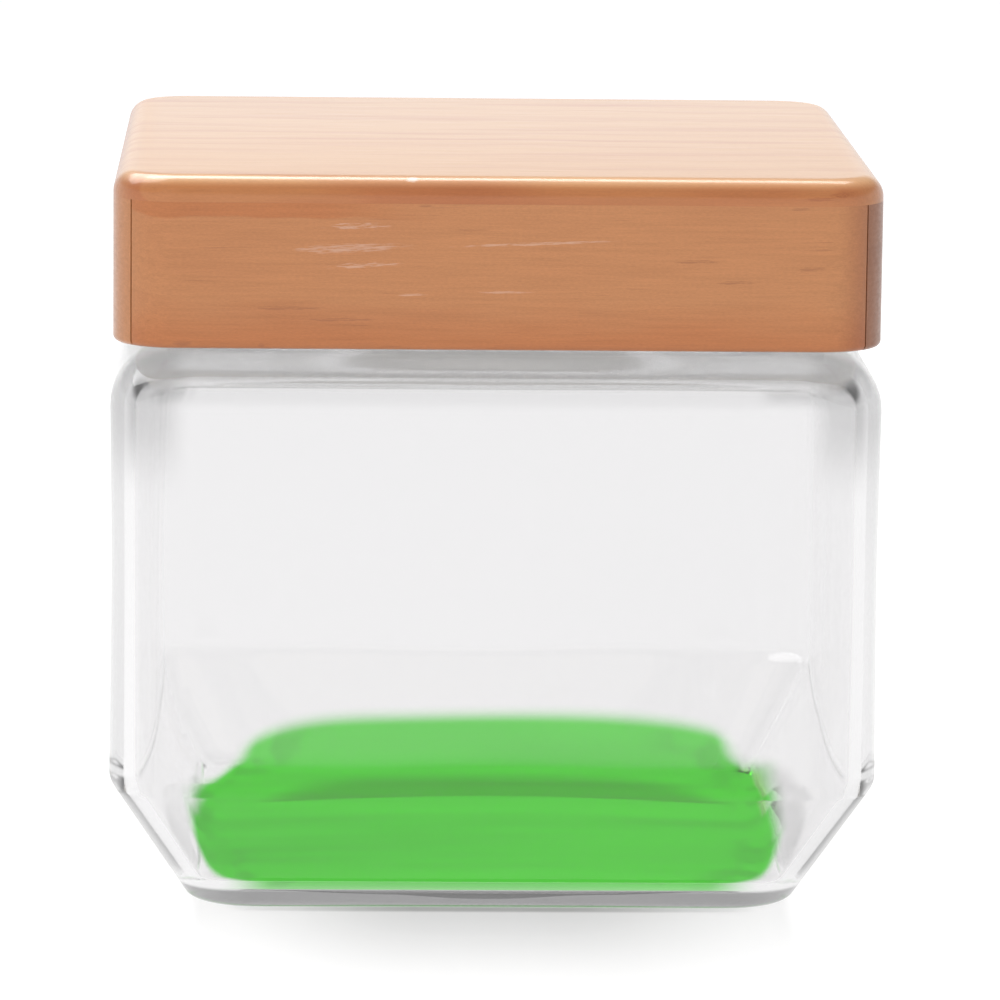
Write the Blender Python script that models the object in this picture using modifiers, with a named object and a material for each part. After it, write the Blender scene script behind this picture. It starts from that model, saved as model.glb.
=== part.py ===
"""Square glass candy jar with a mitred pine lid and a silicone seal.

Metres, +Z up. The origin is the centre of the foot, on the table, and the front faces -Y.
Heights stack up from the table: foot, chamfer, wall, shoulder, neck, seal, lid board.
Widths work inwards from the glass: lid, rails, neck, mouth, seal, plug.
"""

import math

import bmesh
import bpy
from mathutils import Matrix, Vector

MM = 0.001

# Glass body: a square wall on a foot that is drawn in by a chamfer on all four sides
JAR_WIDTH = 120 * MM
GLASS_WALL = 4 * MM
CORNER_RADIUS = 11 * MM
CHAMFER_HEIGHT = 21.3 * MM
CHAMFER_INSET = 12.6 * MM
KNUCKLE_RADIUS = 5 * MM
INNER_KNUCKLE_RADIUS = 3.3 * MM
WALL_SINK = 0.35 * MM
WALL_SINK_RADIUS = 900 * MM
WALL_SINK_SHARE = 0.5
SHOULDER_HEIGHT = 89.7 * MM
SHOULDER_RADIUS = 9 * MM
SHOULDER_RISE = 1 * MM
SHOULDER_LAND_SHARE = 0.76

# Foot: thick floor, rounded heel, a flat ring that bears on the table, a pushed-up middle
FLOOR_THICKNESS = 3.8 * MM
FOOT_CORNER_RADIUS = 9 * MM
HEEL_RADIUS = 3 * MM
INNER_HEEL_RADIUS = 4.5 * MM
BEARING_WIDTH = 6 * MM
PUSH_UP_HEIGHT = 1.4 * MM
PUSH_UP_RUN = 20 * MM
PUSH_UP_RADIUS = 4 * MM
FLOOR_CROWN = 1 * MM
CROWN_SHARES = (0.80, 0.42)

# Neck: round, with a bead under a rounded rim
NECK_HEIGHT = 21.4 * MM
NECK_WALL = 4 * MM
NECK_FILLET = 2.5 * MM
BEAD_REACH = 1.8 * MM
BEAD_DROP = 5.5 * MM
BEAD_EASE = 1.2 * MM
RIM_RADIUS = 1.3 * MM

# Lid: four mitred rails under a top board, all rounded together after gluing
LID_INSET = 0.6 * MM
LID_CORNER_RADIUS = 10 * MM
BOARD_THICKNESS = 4 * MM
BOARD_ROUND = 3.4 * MM
BOARD_HEADROOM_SHARE = 0.9
RAIL_THICKNESS = 8 * MM
RAIL_EASE = 0.9 * MM
GLUE_LINE = 0.3 * MM
SKIRT_GAP = 0.8 * MM
SKIRT_CLEARANCE = 3.1 * MM

# Seal: a ribbed silicone ring with a flange that lies between the rim and the board
SEAL_CLEARANCE = 0.3 * MM
SEAL_WEB = 1.4 * MM
SEAL_FLANGE = 1.4 * MM
SEAL_FLANGE_REACH = 3.4 * MM
RIB_COUNT = 3
RIB_REACH = 1.6 * MM
RIB_ROOT = 1.3 * MM
RIB_TIP = 0.6 * MM
RIB_SLANT = 0.7 * MM

# Plug: a turned disc glued under the board, with a foot that keeps the seal on
PLUG_HEIGHT = 13 * MM
PLUG_FOOT_HEIGHT = 3 * MM
PLUG_FOOT_REACH = 1.5 * MM
PLUG_EASE = 0.8 * MM

# Smoothness, as counts of facets
FLAT_STEPS = 5
CORNER_STEPS = 6
BEND_STEPS = 4
EDGE_STEPS = 5
TURN_STEPS = 64
SHARP_ANGLE = math.radians(35)
MERGE_DISTANCE = 0.01 * MM

# How much of a straight run a bend may take, next to another bend and next to none
SHARED_RUN_SHARE = 0.49
WHOLE_RUN_SHARE = 0.98

# Widths that follow from the sizes above
JAR_HALF = JAR_WIDTH / 2
FOOT_HALF = JAR_HALF - CHAMFER_INSET
LID_HALF = JAR_HALF - LID_INSET
SKIRT_HALF = LID_HALF - RAIL_THICKNESS
BEAD_RADIUS = SKIRT_HALF - SKIRT_CLEARANCE
NECK_RADIUS = BEAD_RADIUS - BEAD_REACH
MOUTH_RADIUS = NECK_RADIUS - NECK_WALL
SEAL_RIB_RADIUS = MOUTH_RADIUS - SEAL_CLEARANCE
SEAL_WEB_RADIUS = SEAL_RIB_RADIUS - RIB_REACH
SEAL_BORE_RADIUS = SEAL_WEB_RADIUS - SEAL_WEB
PLUG_RADIUS = SEAL_BORE_RADIUS - SEAL_CLEARANCE

# Heights that follow from the sizes above
RIM_Z = SHOULDER_HEIGHT + NECK_HEIGHT
SEAL_SEAT_Z = RIM_Z + SEAL_CLEARANCE
SEAL_TOP_Z = SEAL_SEAT_Z + SEAL_FLANGE
BOARD_Z = SEAL_TOP_Z + SEAL_CLEARANCE
RAIL_TOP_Z = BOARD_Z - GLUE_LINE
RAIL_FOOT_Z = SHOULDER_HEIGHT + SKIRT_GAP
PLUG_TOP_Z = BOARD_Z - GLUE_LINE
PLUG_FOOT_Z = PLUG_TOP_Z - PLUG_HEIGHT
PLUG_LEDGE_Z = PLUG_FOOT_Z + PLUG_FOOT_HEIGHT
SEAL_FOOT_Z = PLUG_LEDGE_Z + SEAL_CLEARANCE


def clear_scene():
    for obj in list(bpy.data.objects):
        bpy.data.objects.remove(obj)


def new_collection(name):
    collection = bpy.data.collections.new(name)
    bpy.context.scene.collection.children.link(collection)
    return collection


def new_material(name, colour, roughness, transmission):
    material = bpy.data.materials.new(name)
    material.use_nodes = True
    shader = material.node_tree.nodes["Principled BSDF"]
    shader.inputs["Base Color"].default_value = (*colour, 1)
    shader.inputs["Roughness"].default_value = roughness
    shader.inputs["Transmission Weight"].default_value = transmission
    material.diffuse_color = (*colour, 1)
    return material


def new_object(name, mesh, materials, collection, axis):
    """A part whose mesh is drawn about the axis that carries it."""
    obj = bpy.data.objects.new(name, mesh)
    for material in materials:
        mesh.materials.append(material)
    collection.objects.link(obj)
    obj.parent = axis
    return obj


def new_axis(name, height, collection):
    """An empty on the jar's centre line, which carries the jar, or the lid as it lifts."""
    axis = bpy.data.objects.new(name, None)
    axis.location = (0, 0, height)
    collection.objects.link(axis)
    return axis


def mesh_from(bm, name):
    bmesh.ops.recalc_face_normals(bm, faces=bm.faces)
    mesh = bpy.data.meshes.new(name)
    bm.to_mesh(mesh)
    bm.free()
    mesh.shade_smooth()
    mesh.set_sharp_from_angle(angle=SHARP_ANGLE)
    return mesh


# The glass is a loft: one plan per height, from a rounded square to a round neck and back


def plan_reach(angle, half, corner):
    """How far the edge of a rounded square lies from its centre, in one direction."""
    folded = abs((angle + math.pi / 4) % (math.pi / 2) - math.pi / 4)
    core = half - corner
    if half * math.tan(folded) <= core:
        return half / math.cos(folded)
    along = core * (math.cos(folded) + math.sin(folded))
    return along + math.sqrt(along**2 - 2 * core**2 + corner**2)


def plan_angles(half, corner):
    """Directions that put points where a rounded square needs them: few on flats, more in corners."""
    core = half - corner
    flat_end = math.atan2(core, half)
    flat = [flat_end * step / FLAT_STEPS for step in range(FLAT_STEPS)]
    bend = []
    for step in range(CORNER_STEPS):
        swing = math.pi / 2 * step / CORNER_STEPS
        bend.append(math.atan2(core + corner * math.sin(swing), core + corner * math.cos(swing)))
    rest = [math.pi / 2 - angle for angle in reversed(flat[1:] + [flat_end])]
    quarter = flat + bend + rest
    return [angle + quarter_turn * math.pi / 2 for quarter_turn in range(4) for angle in quarter]


def soften(path):
    """Rounds the corners of a side profile. Each point is (half width, height, plan corner, bend radius)."""
    rounded = []
    for index, (half, height, corner, bend) in enumerate(path):
        if bend == 0:
            rounded.append((half, height, corner))
            continue
        before, after = path[index - 1], path[index + 1]
        point = Vector((half, height))
        run_in = point - Vector(before[:2])
        run_out = Vector(after[:2]) - point
        turn = run_in.angle(run_out)
        rooms = []
        for run, neighbour in ((run_in, before), (run_out, after)):
            share = SHARED_RUN_SHARE if neighbour[3] else WHOLE_RUN_SHARE
            rooms.append(run.length * share)
        tangent = min(bend * math.tan(turn / 2), *rooms)
        radius = tangent / math.tan(turn / 2)
        ahead = run_in.normalized()
        inward = (run_out.normalized() - ahead * math.cos(turn)).normalized()
        start = point - ahead * tangent
        corner_in = corner + (before[2] - corner) * tangent / run_in.length
        corner_out = corner + (after[2] - corner) * tangent / run_out.length
        for step in range(BEND_STEPS + 1):
            share = step / BEND_STEPS
            swing = turn * share
            place = start + ahead * radius * math.sin(swing) + inward * radius * (1 - math.cos(swing))
            rounded.append((place.x, place.y, corner_in + (corner_out - corner_in) * share))
    return rounded


def loft(stations, low_pole, high_pole, angles):
    """Skins the plans in order and closes each end on the centre line. It also returns each band's faces."""
    bm = bmesh.new()
    rings = []
    for half, height, corner in stations:
        ring = []
        for angle in angles:
            reach = plan_reach(angle, half, min(corner, half))
            ring.append(bm.verts.new((reach * math.cos(angle), reach * math.sin(angle), height)))
        rings.append(ring)
    neighbours = [(index, (index + 1) % len(angles)) for index in range(len(angles))]
    bottom = bm.verts.new((0, 0, low_pole))
    for here, there in neighbours:
        bm.faces.new((bottom, rings[0][there], rings[0][here]))
    bands = []
    for lower, upper in zip(rings, rings[1:]):
        band = [bm.faces.new((lower[a], lower[b], upper[b], upper[a])) for a, b in neighbours]
        bands.append(band)
    top = bm.verts.new((0, 0, high_pole))
    bands.append([bm.faces.new((top, rings[-1][here], rings[-1][there])) for here, there in neighbours])
    return bm, bands


def outer_glass():
    """Underside, heel, chamfer, wall, shoulder, neck and rim, from the middle of the foot outwards."""
    bearing = FOOT_HALF - HEEL_RADIUS - BEARING_WIDTH
    hollow = bearing - PUSH_UP_RUN
    land = JAR_HALF + (NECK_RADIUS - JAR_HALF) * SHOULDER_LAND_SHARE
    wall_top = SHOULDER_HEIGHT - SHOULDER_RISE
    wall_middle = CHAMFER_HEIGHT + (wall_top - CHAMFER_HEIGHT) * WALL_SINK_SHARE
    bead_foot = RIM_Z - BEAD_DROP
    return [
        (hollow, PUSH_UP_HEIGHT, FOOT_CORNER_RADIUS, PUSH_UP_RADIUS),
        (bearing, 0, FOOT_CORNER_RADIUS, 0),
        (FOOT_HALF, 0, FOOT_CORNER_RADIUS, HEEL_RADIUS),
        (JAR_HALF, CHAMFER_HEIGHT, CORNER_RADIUS, KNUCKLE_RADIUS),
        (JAR_HALF - WALL_SINK, wall_middle, CORNER_RADIUS, WALL_SINK_RADIUS),
        (JAR_HALF, wall_top, CORNER_RADIUS, SHOULDER_RADIUS),
        (land, wall_top + SHOULDER_RISE * SHOULDER_LAND_SHARE, CORNER_RADIUS, 0),
        (NECK_RADIUS, SHOULDER_HEIGHT, NECK_RADIUS, NECK_FILLET),
        (NECK_RADIUS, bead_foot, NECK_RADIUS, BEAD_EASE),
        (BEAD_RADIUS, bead_foot + BEAD_REACH, BEAD_RADIUS, BEAD_EASE),
        (BEAD_RADIUS, RIM_Z, BEAD_RADIUS, RIM_RADIUS),
    ]


def inner_glass():
    """Mouth, inside of the shoulder, wall and chamfer, and the crowned floor, from the rim inwards."""
    inner_half = JAR_HALF - GLASS_WALL
    inner_corner = max(CORNER_RADIUS - GLASS_WALL, 0)
    foot_corner = max(FOOT_CORNER_RADIUS - GLASS_WALL, 0)
    floor_half = inner_half - CHAMFER_INSET * (1 - FLOOR_THICKNESS / CHAMFER_HEIGHT)
    ceiling = SHOULDER_HEIGHT - GLASS_WALL
    wall_top = ceiling - SHOULDER_RISE
    land = inner_half + (MOUTH_RADIUS - inner_half) * SHOULDER_LAND_SHARE
    shoulder = max(SHOULDER_RADIUS - GLASS_WALL, NECK_FILLET)
    path = [
        (MOUTH_RADIUS, RIM_Z, MOUTH_RADIUS, RIM_RADIUS),
        (MOUTH_RADIUS, ceiling, MOUTH_RADIUS, NECK_FILLET),
        (land, wall_top + SHOULDER_RISE * SHOULDER_LAND_SHARE, inner_corner, 0),
        (inner_half, wall_top, inner_corner, shoulder),
        (inner_half, CHAMFER_HEIGHT, inner_corner, INNER_KNUCKLE_RADIUS),
        (floor_half, FLOOR_THICKNESS, foot_corner, INNER_HEEL_RADIUS),
    ]
    for share in CROWN_SHARES:
        height = FLOOR_THICKNESS + FLOOR_CROWN * (1 - share**2)
        path.append((floor_half * share, height, foot_corner * share, 0))
    return path


def make_jar(glass, tinted_glass, axis, collection):
    stations = soften(outer_glass_start() + inner_glass())
    angles = plan_angles(JAR_HALF, CORNER_RADIUS)
    bm, bands = loft(stations, PUSH_UP_HEIGHT, FLOOR_THICKNESS + FLOOR_CROWN, angles)
    floor_bands = bands[-len(CROWN_SHARES) - 1 :]
    for band in floor_bands:
        for face in band:
            face.material_index = 1
    mesh = mesh_from(bm, "glass_jar")
    return new_object("glass_jar", mesh, [glass, tinted_glass], collection, axis)


def outer_glass_start():
    """The outer profile led in by a small flat plan in the middle of the underside."""
    path = outer_glass()
    half, height, corner, _ = path[0]
    middle = CROWN_SHARES[-1]
    return [(half * middle, height, corner * middle, 0), *path]


# The lid is cut from one rounded block, as the real frame is shaped after it is glued


def rounded_block(half, corner, low, high):
    """A square block with rounded upright edges, on the centre line."""
    bm = bmesh.new()
    bmesh.ops.create_cube(bm, size=1)
    bmesh.ops.scale(bm, vec=(2 * half, 2 * half, high - low), verts=bm.verts)
    bmesh.ops.translate(bm, vec=(0, 0, (low + high) / 2), verts=bm.verts)
    middle = (low + high) / 2
    upright = [e for e in bm.edges if (e.verts[0].co.z - middle) * (e.verts[1].co.z - middle) < 0]
    bmesh.ops.bevel(
        bm, geom=upright, offset=corner, segments=2 * CORNER_STEPS, profile=0.5, affect="EDGES", material=-1
    )
    return bm


def round_rim(bm, at_top, radius, segments):
    """Rounds the block's outline, at its top or its bottom."""
    heights = [vert.co.z for vert in bm.verts]
    level = max(heights) if at_top else min(heights)
    middle = (max(heights) + min(heights)) / 2
    reach = abs(level - middle)
    rim = [e for e in bm.edges if all(abs(v.co.z - level) < reach / 2 for v in e.verts)]
    bmesh.ops.bevel(
        bm, geom=rim, offset=radius, segments=segments, profile=0.5, affect="EDGES", material=-1
    )


def trim(bm, point, outward):
    """Cuts off everything beyond a plane and closes the cut."""
    geometry = bm.verts[:] + bm.edges[:] + bm.faces[:]
    cut = bmesh.ops.bisect_plane(
        bm, geom=geometry, dist=MERGE_DISTANCE, plane_co=point, plane_no=outward, clear_outer=True
    )
    edges = [item for item in cut["geom_cut"] if isinstance(item, bmesh.types.BMEdge)]
    bmesh.ops.holes_fill(bm, edges=edges, sides=0)


def make_rail(name, turn, wood, axis, collection):
    """One side of the frame: the block's front, mitred at both ends, then turned to its side."""
    bm = rounded_block(LID_HALF, LID_CORNER_RADIUS, RAIL_FOOT_Z - BOARD_Z, RAIL_TOP_Z - BOARD_Z)
    round_rim(bm, False, RAIL_EASE, 3)
    half_gap = GLUE_LINE / 2
    for side in (-1, 1):
        outward = Vector((side, 1, 0)).normalized()
        trim(bm, -half_gap * outward, outward)
    trim(bm, Vector((0, -SKIRT_HALF, 0)), Vector((0, 1, 0)))
    bmesh.ops.rotate(bm, verts=bm.verts, cent=(0, 0, 0), matrix=Matrix.Rotation(turn, 3, "Z"))
    return new_object(name, mesh_from(bm, name), [wood], collection, axis)


def make_board(wood, axis, collection):
    bm = rounded_block(LID_HALF, LID_CORNER_RADIUS, 0, BOARD_THICKNESS)
    roundover = min(BOARD_ROUND, BOARD_THICKNESS * BOARD_HEADROOM_SHARE)
    round_rim(bm, True, roundover, EDGE_STEPS)
    return new_object("lid_board", mesh_from(bm, "lid_board"), [wood], collection, axis)


# The plug and the seal are turned on the jar's centre line


def turned(name, profile, closed, material, collection, axis):
    """Spins a profile, given as (radius, height above the axis's origin) down its outer side."""
    mesh = bpy.data.meshes.new(name)
    count = len(profile)
    edges = [(index, index + 1) for index in range(count - 1)]
    if closed:
        edges.append((count - 1, 0))
    mesh.from_pydata([(radius, 0, level) for radius, level in profile], edges, [])
    obj = new_object(name, mesh, [material], collection, axis)
    screw = obj.modifiers.new("turn", "SCREW")
    screw.axis = "Z"
    screw.steps = TURN_STEPS
    screw.render_steps = TURN_STEPS
    screw.use_merge_vertices = True
    screw.merge_threshold = MERGE_DISTANCE
    screw.use_smooth_shade = True
    return obj


def make_plug(wood, axis, collection):
    foot_radius = PLUG_RADIUS + PLUG_FOOT_REACH
    top = PLUG_TOP_Z - BOARD_Z
    ledge = PLUG_LEDGE_Z - BOARD_Z
    foot = PLUG_FOOT_Z - BOARD_Z
    profile = [
        (0, top),
        (PLUG_RADIUS, top),
        (PLUG_RADIUS, ledge),
        (foot_radius, ledge),
        (foot_radius, foot + PLUG_EASE),
        (foot_radius - PLUG_EASE, foot),
        (0, foot),
    ]
    return turned("lid_plug", profile, False, wood, collection, axis)


def make_seal(silicone, axis, collection):
    """A flange on a thin web, with ribs that slant up as they do when pushed into the mouth."""
    seat = SEAL_SEAT_Z - BOARD_Z
    top = SEAL_TOP_Z - BOARD_Z
    foot = SEAL_FOOT_Z - BOARD_Z
    flange_radius = MOUTH_RADIUS + SEAL_FLANGE_REACH
    profile = [(flange_radius, top), (flange_radius, seat), (SEAL_WEB_RADIUS, seat)]
    pitch = (seat - foot) / RIB_COUNT
    for rib in range(RIB_COUNT):
        root = seat - pitch * (rib + 0.5) - RIB_SLANT / 2
        tip = root + RIB_SLANT
        profile += [
            (SEAL_WEB_RADIUS, root + RIB_ROOT / 2),
            (SEAL_RIB_RADIUS, tip + RIB_TIP / 2),
            (SEAL_RIB_RADIUS, tip - RIB_TIP / 2),
            (SEAL_WEB_RADIUS, root - RIB_ROOT / 2),
        ]
    profile += [(SEAL_WEB_RADIUS, foot), (SEAL_BORE_RADIUS, foot), (SEAL_BORE_RADIUS, top)]
    return turned("seal_ring", profile, True, silicone, collection, axis)


def main():
    clear_scene()
    collection = new_collection("candy_jar")
    glass = new_material("clear_glass", (0.93, 0.94, 0.94), 0.03, 1)
    tinted_glass = new_material("green_tinted_glass", (0.10, 0.55, 0.06), 0.05, 1)
    board_pine = new_material("pine_top_board", (0.86, 0.62, 0.40), 0.35, 0)
    rail_pine = new_material("pine_rail", (0.62, 0.33, 0.14), 0.38, 0)
    plug_pine = new_material("pine_plug", (0.70, 0.47, 0.27), 0.55, 0)
    silicone = new_material("seal_silicone", (0.86, 0.87, 0.85), 0.45, 0.3)

    jar_axis = new_axis("jar_axis", 0, collection)
    make_jar(glass, tinted_glass, jar_axis, collection)
    lid_axis = new_axis("lid_axis", BOARD_Z, collection)
    make_board(board_pine, lid_axis, collection)
    for quarter, side in enumerate(("front", "right", "back", "left")):
        make_rail(f"lid_rail_{side}", quarter * math.pi / 2, rail_pine, lid_axis, collection)
    make_plug(plug_pine, lid_axis, collection)
    make_seal(silicone, lid_axis, collection)


main()
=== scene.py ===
# %% [markdown]
# # A square glass candy jar with a pine lid
# The jar is pressed glass: four flat walls with round corners, a foot drawn in by a chamfer, and a
# round mouth hidden by the lid. The lid is a thin pine board on a frame of four mitred rails, all
# rounded over together and lacquered, with a turned plug and a silicone seal underneath.
# The solids of the frame already have the right sizes. This lesson sets the camera, then gives them
# a surface: smoother glass and wood in the same places, with their finishes, and last the studio.

import math

import bmesh
import bpy
from mathutils import Matrix, Vector, noise


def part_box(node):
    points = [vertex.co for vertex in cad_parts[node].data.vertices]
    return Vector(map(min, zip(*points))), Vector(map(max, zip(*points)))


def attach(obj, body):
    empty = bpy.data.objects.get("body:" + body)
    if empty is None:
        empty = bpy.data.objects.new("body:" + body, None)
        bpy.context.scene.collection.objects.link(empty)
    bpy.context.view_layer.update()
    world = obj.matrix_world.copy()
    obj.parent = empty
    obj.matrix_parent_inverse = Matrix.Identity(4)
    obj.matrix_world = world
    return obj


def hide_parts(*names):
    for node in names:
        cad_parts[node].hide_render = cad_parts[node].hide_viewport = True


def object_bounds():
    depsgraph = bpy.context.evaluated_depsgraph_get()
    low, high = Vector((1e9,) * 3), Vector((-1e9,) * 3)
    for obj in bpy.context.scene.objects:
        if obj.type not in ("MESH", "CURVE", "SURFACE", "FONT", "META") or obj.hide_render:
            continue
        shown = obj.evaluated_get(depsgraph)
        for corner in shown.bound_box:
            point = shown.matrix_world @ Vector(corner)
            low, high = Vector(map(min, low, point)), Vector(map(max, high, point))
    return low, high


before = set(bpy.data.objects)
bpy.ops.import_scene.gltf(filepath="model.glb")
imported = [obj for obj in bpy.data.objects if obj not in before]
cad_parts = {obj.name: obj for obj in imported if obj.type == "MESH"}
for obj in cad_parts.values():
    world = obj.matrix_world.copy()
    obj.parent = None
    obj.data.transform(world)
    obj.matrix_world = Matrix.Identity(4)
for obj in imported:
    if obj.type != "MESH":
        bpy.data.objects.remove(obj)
cad_low, cad_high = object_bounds()
MM = 0.001
print("nodes", sorted(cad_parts))

# %% [markdown]
# The camera comes first, because every look is judged from it. The picture was taken from about a
# metre away, a little above the lid, with a long lens. A long lens keeps the upright edges nearly
# parallel, so the camera can simply be tipped down at the jar.

# %% Camera
CAMERA_PLACE = Vector((-0.0317, -1.05, 0.2346))
CAMERA_YAW = math.radians(-1.854)
CAMERA_TIP = math.radians(9.578)
CAMERA_ROLL = math.radians(0.661)
CAMERA_LENS = 235.2

camera_data = bpy.data.cameras.new("camera")
camera_data.lens = CAMERA_LENS
camera = bpy.data.objects.new("camera", camera_data)
bpy.context.scene.collection.objects.link(camera)
turn = Matrix.Rotation(CAMERA_YAW, 4, "Z")
tip = Matrix.Rotation(math.radians(90) - CAMERA_TIP, 4, "X")
roll = Matrix.Rotation(CAMERA_ROLL, 4, "Z")
camera.matrix_world = Matrix.Translation(CAMERA_PLACE) @ turn @ tip @ roll
bpy.context.scene.camera = camera
print("camera", [round(x, 3) for x in camera.location], "lens", camera_data.lens)

# %% [markdown]
# Every piece below is a mesh made in world places, so its object stays at the origin. Smooth shading
# with sharp edges kept above an angle makes flat faces stay flat and rounded edges look turned.

# %% A helper that finishes a piece
SHARP_ANGLE = math.radians(40)


def bare_inside(bm, inside):
    """Gives the second material to the faces that a test picks."""
    for face in bm.faces:
        if inside(face):
            face.material_index = 1


def finish_piece(bm, name, materials, body, *nodes):
    """Makes the mesh an object that rides on a body and stands for some solids."""
    mesh = bpy.data.meshes.new(name)
    bm.to_mesh(mesh)
    bm.free()
    mesh.shade_smooth()
    mesh.set_sharp_from_angle(angle=SHARP_ANGLE)
    for material in materials:
        mesh.materials.append(material)
    piece = bpy.data.objects.new(name, mesh)
    bpy.context.scene.collection.objects.link(piece)
    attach(piece, body)
    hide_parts(*nodes)
    print(name, len(mesh.polygons), "faces")
    return piece


# %% [markdown]
# ## Glass
# Pressed glass is never quite flat. The outside keeps the mould's shape, and the inside is a little
# wavy, which is what bends the lines seen through it. The green at the bottom is a tint on the inside
# of the floor. It could be a second material, but its edge is soft, so it is a mask in the one glass
# material, worked out from the place on the surface.
# The jar of the picture is lighter and flatter than clear glass on a table. So the shader is a blend:
# a transmission shader where the glass bends light, and a transparent one where it lets light
# straight through. The helpers below keep the node trees short.

# %% Helpers for shader nodes
def new_material(name):
    """A material with its Principled shader, and its node tree."""
    material = bpy.data.materials.new(name)
    material.use_nodes = True
    tree = material.node_tree
    return material, tree, tree.nodes["Principled BSDF"]


def add(tree, kind, **settings):
    """Adds a node and sets its properties."""
    node = tree.nodes.new(kind)
    for key, value in settings.items():
        setattr(node, key, value)
    return node


def put(tree, value, socket):
    """Links a socket to an input, or sets the input to a plain value."""
    if isinstance(value, bpy.types.NodeSocket):
        tree.links.new(value, socket)
    else:
        socket.default_value = value


def calc(tree, operation, *values):
    """One Math node."""
    node = add(tree, "ShaderNodeMath", operation=operation)
    for value, socket in zip(values, node.inputs):
        put(tree, value, socket)
    return node.outputs[0]


def ramp(tree, value, low, high, at_low=0.0, at_high=1.0):
    """A smooth step from one value to another."""
    node = add(tree, "ShaderNodeMapRange", interpolation_type="SMOOTHSTEP")
    for item, socket in zip((value, low, high, at_low, at_high), node.inputs):
        put(tree, item, socket)
    return node.outputs[0]


def multiply(tree, *values):
    """The product of two or more values."""
    product = values[0]
    for value in values[1:]:
        product = calc(tree, "MULTIPLY", product, value)
    return product


def vector_maths(tree, operation, *values, output=0):
    """One Vector Math node."""
    node = add(tree, "ShaderNodeVectorMath", operation=operation)
    for value, socket in zip(values, node.inputs):
        put(tree, value, socket)
    return node.outputs[output]


def scaled_colour(tree, colour, factor):
    """A colour made lighter or darker by a factor."""
    node = add(tree, "ShaderNodeVectorMath", operation="SCALE")
    put(tree, colour, node.inputs[0])
    put(tree, factor, node.inputs["Scale"])
    return node.outputs[0]


def own_place(tree):
    """The place of a point on the piece, in metres."""
    return add(tree, "ShaderNodeTexCoord").outputs["Object"]


def split_place(tree, place):
    """The three parts of a place."""
    node = add(tree, "ShaderNodeSeparateXYZ")
    tree.links.new(place, node.inputs["Vector"])
    return node.outputs


def mix_colours(tree, share, first, second, kind="MIX"):
    """Blends two colours."""
    node = add(tree, "ShaderNodeMix", data_type="RGBA", blend_type=kind)
    put(tree, share, node.inputs["Factor"])
    put(tree, first, node.inputs["A"])
    put(tree, second, node.inputs["B"])
    return node.outputs["Result"]


# %% [markdown]
# The tint covers the floor and climbs a little up the inner slopes. Its outline is a squared oval:
# the shares of the way to the side and to the front or the back are raised to a power and added, and
# the sum is 1 at the edge. In the two back corners it stays lower. All of it is measured on the jar,
# so the tint keeps its place from every side.

# %% Where the tint lies
TINT = (0.05, 0.62, 0.005)
TINT_LEVELS = (9.5 * MM, 13 * MM)
TINT_WIDE = 48 * MM
TINT_TO_FRONT = 58 * MM
TINT_TO_BACK = 66 * MM
TINT_POWER = 3.0
TINT_EDGE = (0.9, 1.1)
TINT_FRONT = (-47 * MM, -44 * MM)
TINT_SHIFT = 2 * MM
TINT_SHIFT_RUN = (-10 * MM, 40 * MM)
CORNER_DROP = (7 * MM, 4.5 * MM)
CORNER_DROP_SIDES = (-20 * MM, 20 * MM)
CORNER_DROP_RUN = (10 * MM, 40 * MM)
CORNER_DROP_AT = 44.6 * MM
CORNER_DROP_POWER = 5.3
TINT_AT_BACK = 0.93
TINT_BACK_RUN = (38 * MM, 48 * MM)
SWIRL_GRAIN = (160, 70, 160)
SWIRL_RANGE = (0.48, 0.62)
SWIRL_NEAR_EDGE = (0.45, 0.8)
SWIRL_DARK = 0.15
CLOUD_GRAIN = (14, 90, 90)
CLOUD_CONTRAST = (0.5, 0.75)


def streaks(tree, place, stretch, detail=2.0, roughness=0.5):
    """Noise that is stretched by a number of cycles for each axis."""
    noise_node = add(tree, "ShaderNodeTexNoise")
    noise_node.inputs["Scale"].default_value = 1
    noise_node.inputs["Detail"].default_value = detail
    noise_node.inputs["Roughness"].default_value = roughness
    tree.links.new(vector_maths(tree, "MULTIPLY", place, stretch), noise_node.inputs["Vector"])
    return noise_node.outputs[0]


def tint_spread(tree, spot):
    """How strong the tint is, and how far a place lies from its middle, where 1 is the edge."""
    shift = ramp(tree, spot["Y"], *TINT_SHIFT_RUN, 0.0, TINT_SHIFT)
    aside = calc(tree, "ABSOLUTE", calc(tree, "SUBTRACT", spot["X"], shift))
    wide = calc(tree, "POWER", calc(tree, "DIVIDE", aside, TINT_WIDE), TINT_POWER)
    back = calc(tree, "DIVIDE", spot["Y"], TINT_TO_BACK)
    ahead = calc(tree, "DIVIDE", spot["Y"], -TINT_TO_FRONT)
    deep = calc(tree, "POWER", calc(tree, "MAXIMUM", back, ahead), TINT_POWER)
    reach = calc(tree, "ADD", wide, deep)
    drop = calc(tree, "POWER", calc(tree, "DIVIDE", aside, CORNER_DROP_AT), CORNER_DROP_POWER)
    drop = multiply(tree, drop, ramp(tree, spot["X"], *CORNER_DROP_SIDES, *CORNER_DROP))
    drop = multiply(tree, drop, ramp(tree, spot["Y"], *CORNER_DROP_RUN))
    level = ramp(tree, calc(tree, "ADD", spot["Z"], drop), *TINT_LEVELS, 1.0, 0.0)
    front = ramp(tree, spot["Y"], *TINT_FRONT)
    spread = multiply(tree, level, front, ramp(tree, reach, *TINT_EDGE, 1.0, 0.0))
    spread = multiply(tree, spread, ramp(tree, spot["Y"], *TINT_BACK_RUN, 1.0, TINT_AT_BACK))
    return spread, reach


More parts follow.
